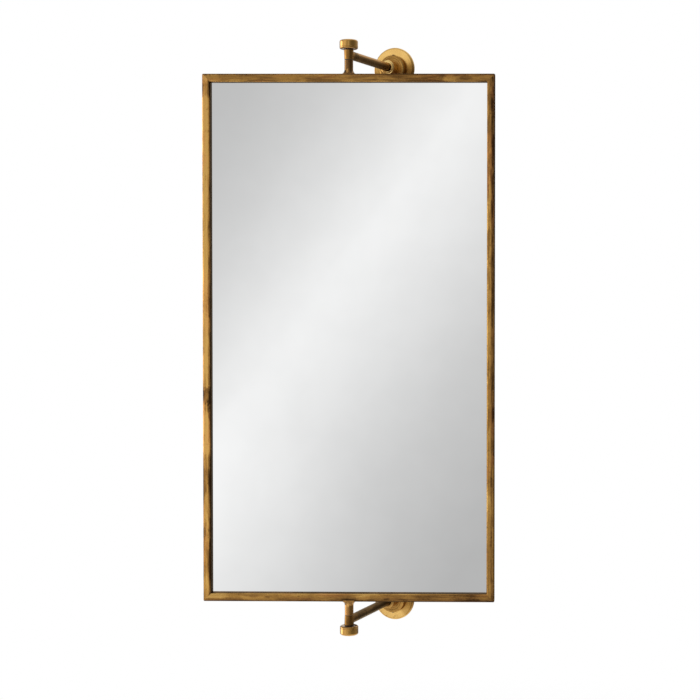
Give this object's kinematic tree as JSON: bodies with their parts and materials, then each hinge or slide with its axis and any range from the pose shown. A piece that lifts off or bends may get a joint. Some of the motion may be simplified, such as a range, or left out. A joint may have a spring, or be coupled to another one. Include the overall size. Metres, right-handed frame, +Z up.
{
  "type": "pivot wall mirror",
  "caption": "Tall framed wall mirror that turns on upright pins between an upper and a lower arm, with round wall rosettes and clamping knobs, in aged brass.",
  "frame": {"origin": "on the wall's face, midway between the two wall plates: the centre of the four wall screw holes", "axes": "+Z up along the mirror's height, +Y into the wall, +X to the right as seen from the room"},
  "size_m": [0.4836, 0.2893, 1.0596],
  "materials": {
    "stile_brass": "aged brass, uneven brown patina, lighter along the worn edges",
    "rail_brass": "aged brass, uneven brown patina, lighter along the worn edges",
    "knob_brass": "aged brass, turned, satin",
    "pivot_brass": "aged brass, dark brown patina, satin",
    "arm_brass": "aged brass, dark bronze-brown patina",
    "rosette_brass": "aged brass, light, with umber spots",
    "hub_brass": "aged brass, brown, turned face",
    "collar_brass": "aged brass, turned",
    "mirror": "silvered glass with a plain polished edge",
    "board": "brown hardboard, screen texture outwards",
    "steel": "zinc-plated steel",
    "dark_steel": "blackened steel",
    "nylon": "black nylon",
    "rubber": "black rubber"
  },
  "bodies": {
    "wall_side": {"upper_wall_plate": "steel", "lower_wall_plate": "steel", "upper_rosette": "rosette_brass", "lower_rosette": "rosette_brass", "upper_hub": "hub_brass", "lower_hub": "hub_brass", "grub_screws": "dark_steel", "upper_collar": "collar_brass", "lower_collar": "collar_brass", "upper_arm": "arm_brass", "lower_arm": "arm_brass", "upper_sleeve": "pivot_brass", "lower_sleeve": "pivot_brass", "upper_bushing": "nylon", "lower_bushing": "nylon"},
    "mirror": {"left_stile": "stile_brass", "right_stile": "stile_brass", "top_rail": "rail_brass", "bottom_rail": "rail_brass", "mirror_glass": "mirror", "backing_board": "board", "setting_blocks": "rubber", "retaining_clips": "steel", "clip_screws": "dark_steel", "upper_post": "pivot_brass", "lower_post": "pivot_brass", "thrust_washers": "nylon", "upper_knob_washer": "nylon", "lower_knob_washer": "nylon"},
    "upper_knob": {"upper_knob": "knob_brass"},
    "lower_knob": {"lower_knob": "knob_brass"}
  },
  "joints": [
    {"name": "mirror_swivel", "type": "hinge", "parent": "wall_side", "child": "mirror", "pos_m": [0, -0.2, 0], "axis": [0, 0, 1], "range_deg": [-68.5, 30.5]},
    {"name": "upper_knob_turn", "type": "hinge", "parent": "mirror", "child": "upper_knob", "pos_m": [0, -0.2, 0.5], "axis": [0, 0, 1], "range_deg": [0, 360]},
    {"name": "lower_knob_turn", "type": "hinge", "parent": "mirror", "child": "lower_knob", "pos_m": [0, -0.2, -0.5], "axis": [0, 0, -1], "range_deg": [0, 360]}
  ]
}
